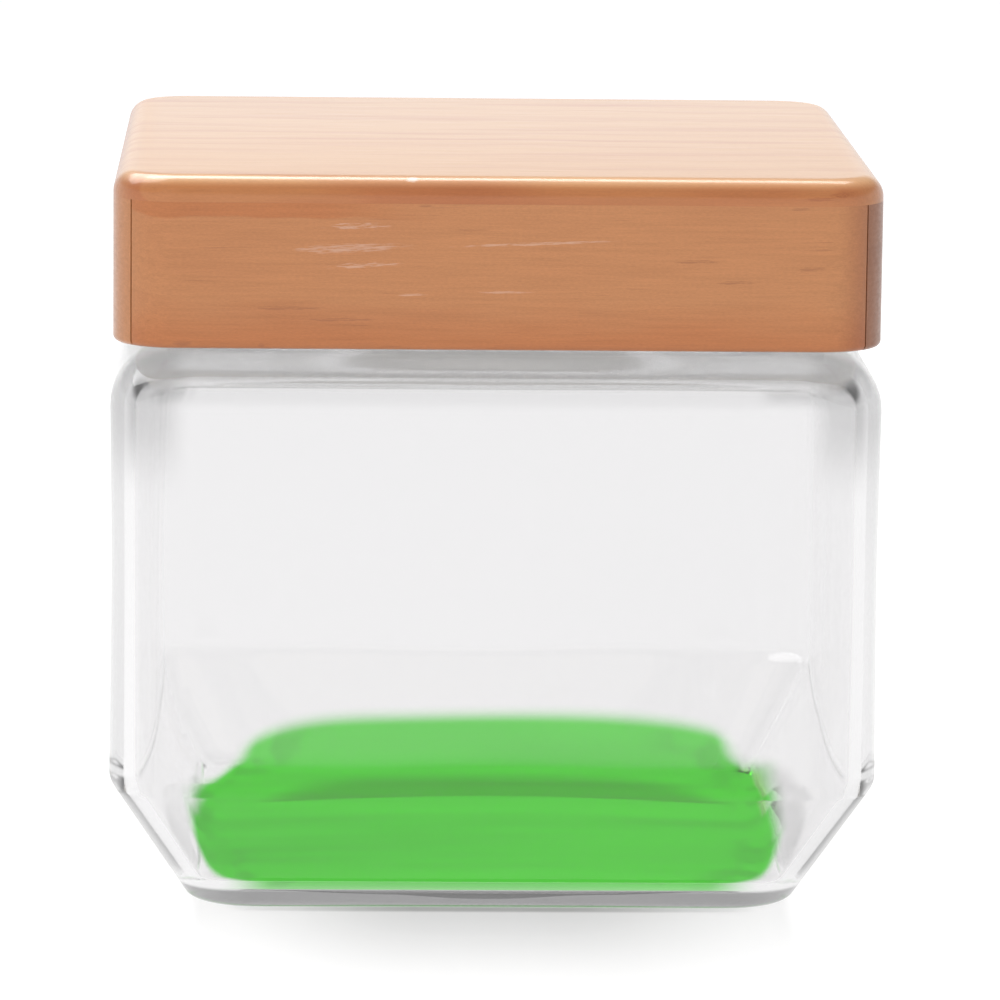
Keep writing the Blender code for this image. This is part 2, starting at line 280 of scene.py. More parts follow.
def tint_colour(tree, place, reach):
    """The tint's green, a little clouded, with darker swirls near the sides."""
    swirl = ramp(tree, streaks(tree, place, SWIRL_GRAIN, 3.0), *SWIRL_RANGE)
    swirl = multiply(tree, swirl, ramp(tree, reach, *SWIRL_NEAR_EDGE))
    cloud = calc(tree, "MULTIPLY_ADD", streaks(tree, place, CLOUD_GRAIN), *CLOUD_CONTRAST)
    light = calc(tree, "MULTIPLY_ADD", swirl, -SWIRL_DARK, cloud)
    return scaled_colour(tree, TINT, light)


# %% [markdown]
# Thick glass is darker than thin glass, at the heel, in the upper corners and along the shoulder.
# The small scale of the jar makes the volume's own grey too weak to show it, so painted shade, a
# light factor from 0 to 1, dims the surface colour there. The long dark bow in the green is where the
# front wall bends into the chamfer, and it is a greyer band of painted shade between two curves on the
# inner side.

# %% Where the glass is greyer
HEEL_EDGE = (39 * MM, 47 * MM)
HEEL_SHARES = (0.74, 0.87)
HEEL_CORNER = (34 * MM, 43 * MM)
UPPER_CORNER = (47 * MM, 52 * MM)
UPPER_CORNER_RISE = (66 * MM, 80 * MM)
UPPER_CORNER_DARK = 0.4
FOOT_RISE = (3.0 * MM, 3.8 * MM)
FOOT_LIGHT = 0.2
SHOULDER_START = (84.5 * MM, 87 * MM)
SHOULDER_LIGHT = 0.75
BOW_BEFORE = -50 * MM
BOW_TIP = 38 * MM
BOW_LOW = 20.7 * MM
BOW_HIGH = 24.6 * MM
BOW_LOW_DROP = 1.2 * MM
BOW_HIGH_DROP = 4.6 * MM
BOW_LOW_BLUR = 0.3 * MM
BOW_HIGH_BLUR = 2.6 * MM


def heel_share(tree, spot):
    """How much of the tint shows in the heel, strongest at the foot's edge and gone at its corners."""
    sides = [calc(tree, "ABSOLUTE", spot[axis]) for axis in "XY"]
    edge = ramp(tree, calc(tree, "MAXIMUM", *sides), *HEEL_EDGE, *HEEL_SHARES)
    return multiply(tree, edge, ramp(tree, sides[0], *HEEL_CORNER, 1.0, 0.0))


def painted_glass_shade(tree, spot, inner, leaving):
    """Painted shade on the thick glass of the heel, the upper corners and the shoulder: the share of
    colour left.
    """
    sides = [calc(tree, "ABSOLUTE", spot[axis]) for axis in "XY"]
    corner = ramp(tree, calc(tree, "MINIMUM", *sides), *UPPER_CORNER)
    high = ramp(tree, spot["Z"], *UPPER_CORNER_RISE)
    corner = multiply(tree, corner, calc(tree, "SUBTRACT", 1.0, inner))
    dim = calc(tree, "MULTIPLY_ADD", multiply(tree, corner, high), -UPPER_CORNER_DARK, 1.0)
    foot = calc(tree, "MAXIMUM", ramp(tree, spot["Z"], *FOOT_RISE, FOOT_LIGHT, 1.0), inner)
    foot = calc(tree, "MAXIMUM", foot, leaving)
    return multiply(tree, dim, ramp(tree, spot["Z"], *SHOULDER_START, 1.0, SHOULDER_LIGHT), foot)


def front_bow_shade(tree, spot):
    """1 in the long dark bow of painted shade inside the front wall, where it bends into the chamfer."""
    side = calc(tree, "DIVIDE", calc(tree, "ABSOLUTE", spot["X"]), BOW_TIP)
    low = calc(tree, "MULTIPLY_ADD", calc(tree, "POWER", side, 2.0), -BOW_LOW_DROP, BOW_LOW)
    high = calc(tree, "MULTIPLY_ADD", calc(tree, "POWER", side, 4.0), -BOW_HIGH_DROP, BOW_HIGH)
    above = ramp(tree, calc(tree, "SUBTRACT", spot["Z"], low), 0.0, BOW_LOW_BLUR)
    under = ramp(tree, calc(tree, "SUBTRACT", high, spot["Z"]), 0.0, BOW_HIGH_BLUR)
    near = calc(tree, "LESS_THAN", spot["Y"], BOW_BEFORE)
    return multiply(tree, near, multiply(tree, above, under))


# %% [markdown]
# Light Path tells what kind of ray is asking, and each kind gets what suits it. Lamp light and
# gathered light pass straight, so the jar casts hardly any shadow, as in the picture. A ray that has
# been mirrored many times inside the walls is let out, because it would end up black. The tint shows
# to the first look only, and the heel only over a short run, so that it isn't seen twice.
# The right-hand slope behind the middle keeps bending light: straight through, it showed stripes.

# %% Which rays pass straight
INNER_SIDE = "inner_side"
ONE_HIT = 0.5
MOST_MIRROR_TURNS = 3.5
UNDERSIDE_BELOW = 2 * MM
UNDERSIDE_EDGE = (1.3, 1.4)
HEEL_RUN = 16 * MM
RIM_BELOW = 90 * MM
CEILING_RISE = (82.5 * MM, 84 * MM)
CEILING_SHARE = 0.45
SLOPE_START = (45.9 * MM, 46.7 * MM)
SLOPE_WIDER = 1.3 * MM
SLOPE_WIDER_RUN = (32 * MM, 38 * MM)
SLOPE_BEHIND = (0.0, 5 * MM)

clear_glass, tree, shader = new_material("clear_glass")
place = own_place(tree)
spot = split_place(tree, place)
spread, reach = tint_spread(tree, spot)
inner = add(tree, "ShaderNodeAttribute", attribute_name=INNER_SIDE).outputs["Fac"]
leaving = add(tree, "ShaderNodeNewGeometry").outputs["Backfacing"]
path = add(tree, "ShaderNodeLightPath").outputs

on_floor = multiply(tree, multiply(tree, inner, calc(tree, "SUBTRACT", 1.0, leaving)), spread)
below = multiply(tree, leaving, calc(tree, "LESS_THAN", spot["Z"], UNDERSIDE_BELOW))
below = multiply(tree, below, calc(tree, "SUBTRACT", 1.0, inner))
below = multiply(tree, below, ramp(tree, reach, *UNDERSIDE_EDGE, 1.0, 0.0))

lamp = calc(tree, "MAXIMUM", path["Is Shadow Ray"], path["Is Diffuse Ray"])
caught = calc(tree, "GREATER_THAN", path["Glossy Depth"], MOST_MIRROR_TURNS)
slope_reach = calc(tree, "ADD", spot["X"], ramp(tree, spot["Y"], *SLOPE_WIDER_RUN, 0.0, SLOPE_WIDER))
slope_share = multiply(tree, ramp(tree, slope_reach, *SLOPE_START), ramp(tree, spot["Y"], *SLOPE_BEHIND))
floor_share = multiply(tree, on_floor, calc(tree, "SUBTRACT", 1.0, slope_share))
under_rim = calc(tree, "LESS_THAN", spot["Z"], RIM_BELOW)
overhead = multiply(tree, multiply(tree, inner, leaving), under_rim)
overhead = multiply(tree, overhead, ramp(tree, spot["Z"], *CEILING_RISE, 0.0, CEILING_SHARE))
floor_or_below = calc(tree, "MAXIMUM", floor_share, below)
passing = calc(tree, "MAXIMUM", calc(tree, "MAXIMUM", lamp, caught), floor_or_below)
passing = calc(tree, "MAXIMUM", passing, overhead)

# %% Glass
GLASS_IOR = 1.5
GLASS_CLEAR = (0.917, 0.913, 0.917, 1)
STRAIGHT_CLEAR = (0.97, 0.97, 0.97, 1)
PAINTED_BOW_SHADE = (0.6, 0.42, 0.58, 1)
VOLUME_GREY = (0.5, 0.495, 0.5, 1)
GLASS_DENSITY = 7
GLOSS_TO_SATIN = (83 * MM, 88 * MM)
GLOSS = 0.022
SATIN = 0.2

hits = calc(tree, "ADD", path["Glossy Depth"], path["Transparent Depth"])
first = calc(tree, "LESS_THAN", hits, ONE_HIT)
seen = multiply(tree, first, calc(tree, "SUBTRACT", 1.0, lamp))
tinted = multiply(tree, on_floor, seen)
green = tint_colour(tree, place, reach)
heel = multiply(tree, heel_share(tree, spot), calc(tree, "SUBTRACT", 1.0, lamp))
heel = multiply(tree, heel, calc(tree, "LESS_THAN", path["Ray Length"], HEEL_RUN))
heel = multiply(tree, heel, calc(tree, "LESS_THAN", path["Transparent Depth"], ONE_HIT))
film = calc(tree, "MULTIPLY_ADD", below, heel, tinted)

# Painted shade: a dark bow greys the inner side of the front wall.
bow = multiply(tree, multiply(tree, inner, leaving), front_bow_shade(tree, spot))
clear = mix_colours(tree, bow, GLASS_CLEAR, PAINTED_BOW_SHADE)
# Painted shade: the thick heel, the upper corners and the shoulder are dimmed.
dimmed = scaled_colour(tree, clear, painted_glass_shade(tree, spot, inner, leaving))
tree.links.new(mix_colours(tree, tinted, dimmed, green), shader.inputs["Base Color"])
roughness = ramp(tree, spot["Z"], *GLOSS_TO_SATIN, GLOSS, SATIN)
tree.links.new(roughness, shader.inputs["Roughness"])
shader.inputs["IOR"].default_value = GLASS_IOR
shader.inputs["Transmission Weight"].default_value = 1

straight = add(tree, "ShaderNodeBsdfTransparent")
tree.links.new(mix_colours(tree, film, STRAIGHT_CLEAR, green), straight.inputs["Color"])
choose = add(tree, "ShaderNodeMixShader")
tree.links.new(passing, choose.inputs["Fac"])
tree.links.new(shader.outputs["BSDF"], choose.inputs[1])
tree.links.new(straight.outputs["BSDF"], choose.inputs[2])
body = add(tree, "ShaderNodeVolumeAbsorption")
body.inputs["Color"].default_value = VOLUME_GREY
body.inputs["Density"].default_value = GLASS_DENSITY
out = tree.nodes["Material Output"]
tree.links.new(choose.outputs["Shader"], out.inputs["Surface"])
tree.links.new(body.outputs["Volume"], out.inputs["Volume"])
print(clear_glass.name, len(tree.nodes), "nodes")

# %% [markdown]
# The shell is one strip of rings. It starts as a small circle under the foot, and every ring after
# it is extruded from the last one and then pushed out to its own plan: a square with round corners,
# or a circle where the corner radius is as large as the plan itself. Points are crowded into the
# corners, where the surface turns.

# %% Plan of a ring
RING_POINTS = 176
CORNER_CROWDING = 0.75


def square_reach(angle, half, corner):
    """How far the edge of a rounded square lies from its centre, in one direction."""
    folded = abs((angle + math.pi / 4) % (math.pi / 2) - math.pi / 4)
    core = half - corner
    if half * math.tan(folded) <= core:
        return half / math.cos(folded)
    along = core * (math.cos(folded) + math.sin(folded))
    return along + math.sqrt(along**2 - 2 * core**2 + corner**2)


def crowd_corners(ring):
    """Turns the points of an even circle towards the corners of the square."""
    for vert in ring:
        angle = math.atan2(vert.co.y, vert.co.x)
        angle += CORNER_CROWDING / 4 * math.sin(4 * angle)
        vert.co = Vector((math.cos(angle), math.sin(angle), 0)) * vert.co.length


def shape_ring(ring, half, height, corner):
    """Pushes a ring out to its own plan, at its own height."""
    for vert in ring:
        angle = math.atan2(vert.co.y, vert.co.x)
        reach = square_reach(angle, half, min(corner, half))
        vert.co = (reach * math.cos(angle), reach * math.sin(angle), height)


# %% [markdown]
# Seen from the side, the shell is a list of corners, each with its own bend, because a mould leaves
# no sharp edge. Two bends that share a straight run get a little less than half of it each.

# %% Side profile
BEND_STEPS = 10
RUN_STEP = 2.5 * MM
OWN_RUN = 0.98
SHARED_RUN = 0.49


def soften(path):
    """Rounds the corners of a profile of (half width, height, plan corner, bend radius)."""
    rounded = []
    for index, (half, height, corner, bend) in enumerate(path):
        if bend == 0:
            rounded.append((half, height, corner))
            continue
        before, after = path[index - 1], path[index + 1]
        point = Vector((half, height))
        run_in = point - Vector(before[:2])
        run_out = Vector(after[:2]) - point
        turn = run_in.angle(run_out)
        rooms = [run_in.length * (SHARED_RUN if before[3] else OWN_RUN)]
        rooms.append(run_out.length * (SHARED_RUN if after[3] else OWN_RUN))
        tangent = min(bend * math.tan(turn / 2), *rooms)
        radius = tangent / math.tan(turn / 2)
        ahead = run_in.normalized()
        inward = (run_out.normalized() - ahead * math.cos(turn)).normalized()
        start = point - ahead * tangent
        corner_in = corner + (before[2] - corner) * tangent / run_in.length
        corner_out = corner + (after[2] - corner) * tangent / run_out.length
        for step in range(BEND_STEPS + 1):
            share = step / BEND_STEPS
            swing = turn * share
            spot = start + ahead * radius * math.sin(swing) + inward * radius * (1 - math.cos(swing))
            rounded.append((spot.x, spot.y, corner_in + (corner_out - corner_in) * share))
    return rounded


def fill_runs(stations):
    """Adds rings along the straight runs, so that no band is taller than the run step."""
    filled = [stations[0]]
    for low, high in zip(stations, stations[1:]):
        gap = math.hypot(high[0] - low[0], high[1] - low[1])
        count = max(1, math.ceil(gap / RUN_STEP))
        for step in range(1, count + 1):
            share = step / count
            filled.append(tuple(a + (b - a) * share for a, b in zip(low, high)))
    return filled


# %% Sizes of the shell
jar_low, jar_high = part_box("glass_jar")
JAR_HALF = (jar_high.x - jar_low.x) / 2
RIM_Z = jar_high.z
WALL = 4 * MM
CORNER = 11 * MM
CHAMFER_Z = 21.3 * MM
FOOT_INSET = 12.6 * MM
FOOT_HALF = JAR_HALF - FOOT_INSET
FOOT_CORNER = 9 * MM
BEARING_WIDE = 9 * MM
BEARING_BEND = 2 * MM
KNUCKLE = 5 * MM
INNER_KNUCKLE = 3.3 * MM
SHOULDER_Z = 89.7 * MM
SHOULDER_BEND = 9 * MM
SHOULDER_RISE = 1 * MM
LAND_SHARE = 0.76
FLOOR = 3.8 * MM
FLOOR_CROWN = 1 * MM
HEEL_BEND = 3 * MM
INNER_HEEL_BEND = 4.5 * MM
PUSH_UP = 1.4 * MM
PUSH_UP_RUN = 20 * MM
PUSH_UP_BEND = 4 * MM
PUSH_UP_CORNER = FOOT_CORNER * 0.6
CENTRE_RING = 4 * MM
NECK = 46.5 * MM
BEAD = 48.3 * MM
MOUTH = 42.5 * MM
NECK_BEND = 2.5 * MM
BEAD_BEND = 1.2 * MM
BEAD_RISE = 1.8 * MM
CEILING_BEND = 5 * MM
BEAD_DROP = 5.5 * MM
RIM_BEND = 1.3 * MM
WALL_SINK = 0.35 * MM
SINK_BEND = 900 * MM

outer_land = JAR_HALF + (NECK - JAR_HALF) * LAND_SHARE
wall_top = SHOULDER_Z - SHOULDER_RISE
bearing = FOOT_HALF - BEARING_WIDE
outer_path = [
    (CENTRE_RING, PUSH_UP, CENTRE_RING, 0),
    (bearing - PUSH_UP_RUN, PUSH_UP, PUSH_UP_CORNER, PUSH_UP_BEND),
    (bearing, 0, FOOT_CORNER, BEARING_BEND),
    (FOOT_HALF, 0, FOOT_CORNER, HEEL_BEND),
    (JAR_HALF, CHAMFER_Z, CORNER, KNUCKLE),
    (JAR_HALF - WALL_SINK, (CHAMFER_Z + wall_top) / 2, CORNER, SINK_BEND),
    (JAR_HALF, wall_top, CORNER, SHOULDER_BEND),
    (outer_land, wall_top + SHOULDER_RISE * LAND_SHARE, CORNER, 0),
    (NECK, SHOULDER_Z, NECK, NECK_BEND),
    (NECK, RIM_Z - BEAD_DROP, NECK, BEAD_BEND),
    (BEAD, RIM_Z - BEAD_DROP + BEAD_RISE, BEAD, BEAD_BEND),
    (BEAD, RIM_Z, BEAD, RIM_BEND),
]

slope = math.atan2(JAR_HALF - FOOT_HALF, CHAMFER_Z)
inner_half = JAR_HALF - WALL
inner_corner = CORNER - WALL
floor_half = inner_half - (CHAMFER_Z - FLOOR) * math.tan(slope)
ceiling = SHOULDER_Z - WALL
inner_land = inner_half + (MOUTH - inner_half) * LAND_SHARE
inner_path = [
    (MOUTH, RIM_Z, MOUTH, RIM_BEND),
    (MOUTH, ceiling, MOUTH, NECK_BEND),
    (inner_land, ceiling - SHOULDER_RISE * (1 - LAND_SHARE), inner_corner, 0),
    (inner_half, ceiling - SHOULDER_RISE, inner_corner, CEILING_BEND),
    (inner_half, CHAMFER_Z, inner_corner, INNER_KNUCKLE),
    (floor_half, FLOOR, FOOT_CORNER - WALL, INNER_HEEL_BEND),
]
FLOOR_RINGS = ((0.8, 0.36, 4 * MM), (0.42, 0.82, 3 * MM), (0.1, 1.0, 3 * MM))
for reach_share, crown_share, corner in FLOOR_RINGS:
    inner_path.append((floor_half * reach_share, FLOOR + FLOOR_CROWN * crown_share, corner, 0))
stations = fill_runs(soften(outer_path + inner_path))
print(len(stations), "rings of", RING_POINTS, "points")

# %% [markdown]
# The rings after the highest one belong to the inside. They get the faint wave of pressed glass, and a
# mark that the shader reads, so that it can tell the inside of the shell from the outside.

# %% Extrude the shell
WAVE_DEPTH = 0.12 * MM
WAVE_SIZE = 26 * MM


def ring_edges(ring):
    """The edges that join the points of a ring to each other."""
    inside = set(ring)
    return [e for e in {e for v in ring for e in v.link_edges} if set(e.verts) <= inside]


bm = bmesh.new()
inner_side = bm.verts.layers.float.new(INNER_SIDE)
ring = bmesh.ops.create_circle(bm, segments=RING_POINTS, radius=stations[0][0], cap_ends=True)["verts"]
crowd_corners(ring)
shape_ring(ring, *stations[0])
rings = [ring]
for station in stations[1:]:
    grown = bmesh.ops.extrude_edge_only(bm, edges=ring_edges(ring))["geom"]
    ring = [item for item in grown if isinstance(item, bmesh.types.BMVert)]
    shape_ring(ring, *station)
    rings.append(ring)
bmesh.ops.contextual_create(bm, geom=ring_edges(ring))

highest = max(range(len(stations)), key=lambda index: stations[index][1])
for index, ring in enumerate(rings):
    if index > highest:
        for vert in ring:
            wave = noise.noise(vert.co / WAVE_SIZE) * WAVE_DEPTH
            flat = Vector((vert.co.x, vert.co.y, 0)).normalized()
            vert.co += flat * wave
for ring in rings[highest + 1 :]:
    for vert in ring:
        vert[inner_side] = 1
bmesh.ops.recalc_face_normals(bm, faces=bm.faces)
glass = finish_piece(bm, "glass_shell", [clear_glass], "jar", "glass_jar")

# %% [markdown]
# ## Wood
# All the wood is pine, so one node group makes the grain and each wood places it with its own
# colours. Grain is the growth rings cut lengthwise: rings round a pith that lies off the piece, each
# pale on one side and darker on the other. A picture of wood could be used instead, but the rings
# made by nodes go through the piece and meet correctly at its edges. The group works in millimetres,
# and its noise is stretched along X, the way the fibres run.

# %% A node group
def new_group(name, inputs, outputs):
    """A shader node group with named inputs, given as (name, socket kind, value), and outputs."""
    group = bpy.data.node_groups.new(name, "ShaderNodeTree")
    for label, kind, value in inputs:
        socket = group.interface.new_socket(label, in_out="INPUT", socket_type="NodeSocket" + kind)
        socket.default_value = value
    for label, kind in outputs:
        group.interface.new_socket(label, in_out="OUTPUT", socket_type="NodeSocket" + kind)
    return group, group.nodes.new("NodeGroupInput").outputs, group.nodes.new("NodeGroupOutput").inputs


# %% Pine grain, as a node group
SWAY_GRAIN = (0.012, 0.045, 0.045)
RIPPLE_GRAIN = (0.05, 0.2, 0.2)
SWAY_MM = 16.0
RIPPLE_MM = 1.2
RING_STRETCH = (0.03, 1, 1)
LATE_RISE = (0.25, 0.85)
LATE_FALL = (0.9, 1.0)
RING_CONTRAST = (0.7, 0.3)
PATCH_GRAIN = (0.018, 0.12, 0.12)
PATCH_RANGE = (0.3, 0.62)
CLOUD_STRETCH = (0.02, 0.06, 0.06)
CLOUD_SHARE = 0.9
FIBRE_GRAIN = (0.07, 1.7, 1.7)
FINE_GRAIN = (1.5, 5.0, 5.0)
DASH_GRAIN = (0.11, 2.2, 2.2)
DASH_RANGE = (0.66, 0.78)
DASH_COLOUR = (0.33, 0.12, 0.045, 1)
FIBRE_ROUGHNESS = 0.6

pine_grain, given, made = new_group(
    "pine_grain",
    [
        ("Place", "Vector", (0, 0, 0)),
        ("Pith", "Vector", (0, 60, -90)),
        ("Early wood", "Color", (0.53, 0.215, 0.078, 1)),
        ("Late wood", "Color", (0.42, 0.14, 0.046, 1)),
        ("Ring width", "Float", 5.0),
        ("Ring share", "Float", 0.5),
        ("Fibre share", "Float", 0.5),
        ("Dash share", "Float", 0.5),
    ],
    [("Color", "Color"), ("Height", "Float"), ("Fibre", "Float")],
)
tree = pine_grain
place = given["Place"]
across = vector_maths(tree, "MULTIPLY", vector_maths(tree, "SUBTRACT", place, given["Pith"]), RING_STRETCH)
distance = vector_maths(tree, "LENGTH", across, output="Value")
swayed = calc(tree, "MULTIPLY_ADD", streaks(tree, place, SWAY_GRAIN), SWAY_MM, distance)
swayed = calc(tree, "MULTIPLY_ADD", streaks(tree, place, RIPPLE_GRAIN), RIPPLE_MM, swayed)
turns = calc(tree, "DIVIDE", swayed, given["Ring width"])
ring = calc(tree, "FRACT", turns)
late = multiply(tree, ramp(tree, ring, *LATE_RISE), ramp(tree, ring, *LATE_FALL, 1.0, 0.0))
one_ring = add(tree, "ShaderNodeTexWhiteNoise", noise_dimensions="1D")
tree.links.new(calc(tree, "FLOOR", turns), one_ring.inputs["W"])
late = multiply(tree, late, calc(tree, "MULTIPLY_ADD", one_ring.outputs[0], *RING_CONTRAST))
late = multiply(tree, late, ramp(tree, streaks(tree, place, PATCH_GRAIN), *PATCH_RANGE))
cloud = calc(tree, "SUBTRACT", streaks(tree, place, CLOUD_STRETCH), 0.5)
ring_share = calc(tree, "MULTIPLY_ADD", cloud, CLOUD_SHARE, multiply(tree, late, given["Ring share"]))
ring_share = calc(tree, "MAXIMUM", ring_share, 0.0)
colour = mix_colours(tree, ring_share, given["Early wood"], given["Late wood"])
fibre = streaks(tree, place, FIBRE_GRAIN, 3.0, FIBRE_ROUGHNESS)
fine = streaks(tree, place, FINE_GRAIN, 2.0, FIBRE_ROUGHNESS)
grain = calc(tree, "ADD", calc(tree, "SUBTRACT", fibre, 0.5), calc(tree, "SUBTRACT", fine, 0.5))
lit = scaled_colour(tree, colour, calc(tree, "MULTIPLY_ADD", grain, given["Fibre share"], 1.0))
dashes = ramp(tree, streaks(tree, place, DASH_GRAIN, 2.0), *DASH_RANGE)
dash_share = multiply(tree, dashes, given["Dash share"])
tree.links.new(mix_colours(tree, dash_share, lit, DASH_COLOUR), made["Color"])
height = calc(tree, "MULTIPLY_ADD", late, 0.5, fibre)
tree.links.new(calc(tree, "SUBTRACT", height, dash_share), made["Height"])
tree.links.new(fibre, made["Fibre"])
print(pine_grain.name, len(pine_grain.nodes), "nodes")

# %% [markdown]
# The lid is lacquered outside and bare inside. Lacquer is a thin clear coat, so it is the shader's
# coat, and the wood below it stays a little rough, more so between the fibres.

# %% Pine materials
FIBRE_RANGE = (0.3, 0.7)
WOOD_ROUGHNESS = (0.52, 0.4)
WOOD_SPECULAR = 0.3
COAT_ROUGHNESS = 0.16
GRAIN_BUMP = 0.25
GRAIN_DEPTH = 0.1 * MM
BOARD_EDGE = (1.8 * MM, 0.1 * MM)


def bump_from(tree, shader, height, strength, distance):
    """Lets a height bend the shader's normal."""
    bump = add(tree, "ShaderNodeBump")
    bump.inputs["Strength"].default_value = strength
    bump.inputs["Distance"].default_value = distance
    tree.links.new(height, bump.inputs["Height"])
    tree.links.new(bump.outputs["Normal"], shader.inputs["Normal"])


def fill_pine(name, turn, lacquer=0.8, **grain_values):
    """Pine whose grain runs along X, or along Y when it is turned by a quarter."""
    material, tree, shader = new_material(name)
    mapping = add(tree, "ShaderNodeMapping")
    mapping.inputs["Scale"].default_value = (1 / MM, 1 / MM, 1 / MM)
    mapping.inputs["Rotation"].default_value = (0, 0, turn)
    tree.links.new(own_place(tree), mapping.inputs["Vector"])
    grain = add(tree, "ShaderNodeGroup", node_tree=pine_grain)
    tree.links.new(mapping.outputs["Vector"], grain.inputs["Place"])
    for label, value in grain_values.items():
        grain.inputs[label.replace("_", " ")].default_value = value
    tree.links.new(grain.outputs["Color"], shader.inputs["Base Color"])
    rough = ramp(tree, grain.outputs["Fibre"], *FIBRE_RANGE, *WOOD_ROUGHNESS)
    tree.links.new(rough, shader.inputs["Roughness"])
    shader.inputs["Specular IOR Level"].default_value = WOOD_SPECULAR
    shader.inputs["Coat Weight"].default_value = lacquer
    shader.inputs["Coat Roughness"].default_value = COAT_ROUGHNESS
    bump_from(tree, shader, grain.outputs["Height"], GRAIN_BUMP, GRAIN_DEPTH)
    print(name, len(tree.nodes), "nodes")
    return material, tree, shader, grain


def paint_edge_shade(tree, grain, colour):
    """Blends the grain's colour to a darker honey below the board's rounded top edge: painted shade under
    the lit top.
    """
    level = split_place(tree, own_place(tree))["Z"]
    low, high = (cad_high.z - drop for drop in BOARD_EDGE)
    honey = mix_colours(tree, 1.0, grain.outputs["Color"], colour, "MULTIPLY")
    return mix_colours(tree, ramp(tree, level, low, high, 1.0, 0.0), grain.outputs["Color"], honey)


# %% [markdown]
# A used lid has pale scuffs where things brushed along it, and short dark marks in the grain. Each is
# a patch with a centre, a reach and a slope, filled with fine strokes that are densest in its middle.
# One group makes a patch, and a list places as many as a piece needs.

# %% Scuffs, as a node group
SCUFF_FADE = (0.35, 1.0)
STROKE_GRAIN = (0.35, 5.0, 5.0)
STROKE_LIFT = 0.22
STROKE_TOP = 0.8
STROKE_BASE = 0.78
STROKE_SPREAD = 0.2

scuff, given, made = new_group(
    "scuff",
    [
        ("Place", "Vector", (0, 0, 0)),
        ("Centre", "Vector", (0, 0, 0)),
        ("Reach", "Vector", (1, 1, 1)),
        ("Slope", "Float", 0.0),
        ("Stroke", "Float", 0.5),
    ],
    [("Mask", "Float")],
)
tree = scuff
part = split_place(tree, vector_maths(tree, "SUBTRACT", given["Place"], given["Centre"]))
down = multiply(tree, given["Slope"], -1.0)
squared = add(tree, "ShaderNodeCombineXYZ")
tree.links.new(part["X"], squared.inputs["X"])
tree.links.new(part["Y"], squared.inputs["Y"])
tree.links.new(calc(tree, "MULTIPLY_ADD", part["X"], down, part["Z"]), squared.inputs["Z"])
shares = vector_maths(tree, "DIVIDE", squared.outputs[0], given["Reach"])
inside = ramp(tree, vector_maths(tree, "LENGTH", shares, output="Value"), *SCUFF_FADE, 1.0, 0.0)
strokes = streaks(tree, squared.outputs[0], STROKE_GRAIN, 3.0, FIBRE_ROUGHNESS)
strokes = calc(tree, "MULTIPLY_ADD", inside, STROKE_LIFT, strokes)
stroke_low = calc(tree, "SUBTRACT", STROKE_BASE, multiply(tree, given["Stroke"], STROKE_SPREAD))
tree.links.new(multiply(tree, inside, ramp(tree, strokes, stroke_low, STROKE_TOP)), made["Mask"])
print(scuff.name, len(scuff.nodes), "nodes")


def marks(tree, place, spots):
    """The strongest of several scuffs, each given as (centre, reach, slope, stroke)."""
    found = 0.0
    for spot in spots:
        node = add(tree, "ShaderNodeGroup", node_tree=scuff)
        tree.links.new(place, node.inputs["Place"])
        for label, value in zip(("Centre", "Reach", "Slope", "Stroke"), spot):
            node.inputs[label].default_value = value
        found = calc(tree, "MAXIMUM", found, node.outputs["Mask"])
    return found


def paint_marks(tree, place, spots, share, colour, paint):
    """Lays a colour over some scuffs."""
    return mix_colours(tree, multiply(tree, marks(tree, place, spots), share), colour, paint)


# %% Where the lid is marked
FRONT = -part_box("lid_board")[1].x / MM
PALE_SCUFFS = [
    ((-23, FRONT, 106.2), (13, 4, 1.1), 0.035, 1.0),
    ((6, FRONT, 107.1), (19, 4, 0.4), 0.04, 0.9),
    ((-21, FRONT, 103.6), (9, 4, 0.7), 0.04, 0.6),
    ((-13.5, FRONT, 99.1), (3.5, 4, 0.3), 0.02, 1.0),
    ((0.5, FRONT, 99.6), (6, 4, 0.3), 0.0, 1.0),
    ((-22, FRONT, 109.6), (8, 4, 1.0), 0.0, 0.5),
]
DARK_MARKS = [
    ((-48.4, FRONT, 91.4), (2.2, 3, 0.7), 0.0, 1.0),
    ((-36.5, FRONT, 91.2), (0.8, 3, 0.5), 0.0, 1.0),
    ((30, FRONT, 104.5), (6, 3, 0.5), 0.0, 0.8),
    ((36, FRONT, 101.3), (5, 3, 0.5), 0.0, 0.8),
    ((48, FRONT, 103.5), (4, 3, 0.6), 0.0, 0.7),
    ((-33, FRONT, 96.9), (9, 3, 0.5), 0.0, 0.8),
    ((-25, FRONT, 95.2), (10, 3, 0.5), 0.0, 0.8),
    ((46, FRONT, 112.7), (2.4, 3, 0.45), 0.0, 1.0),
    ((-11.4, FRONT, 112.8), (1.6, 3, 0.4), 0.0, 1.0),
]
EDGE_MARKS = [
    ((52.5, FRONT, 114.8), (3.6, 3, 0.7), 0.02, 1.0),
    ((49.0, FRONT, 114.3), (3.4, 3, 0.6), 0.02, 1.0),
    ((54.5, FRONT, 115.2), (2.4, 3, 0.5), 0.0, 0.8),
]
# A pale spot on the front's rounded top edge.
EDGE_PALE_SPOT = [((-13.5, FRONT + 1.4, 116.7), (1.5, 2.2, 0.7), 0.0, 1.0)]
print(len(PALE_SCUFFS) + len(DARK_MARKS), "marks on the front rail")

# %% Board wood
# The board's pine is paler than the rails', partly as painted light for the top that faces the lamps, and
# below its rounded top edge it is painted back to a darker honey, a painted shade.
PAINTED_EDGE_SHADE = (0.68, 0.48, 0.36, 1)
EDGE_MARK_SHARE = 0.6
EDGE_MARK_COLOUR = (0.36, 0.11, 0.04, 1)
PALE_SPOT_SHARE = 0.9
PALE_SPOT_COLOUR = (0.9, 0.82, 0.74, 1)

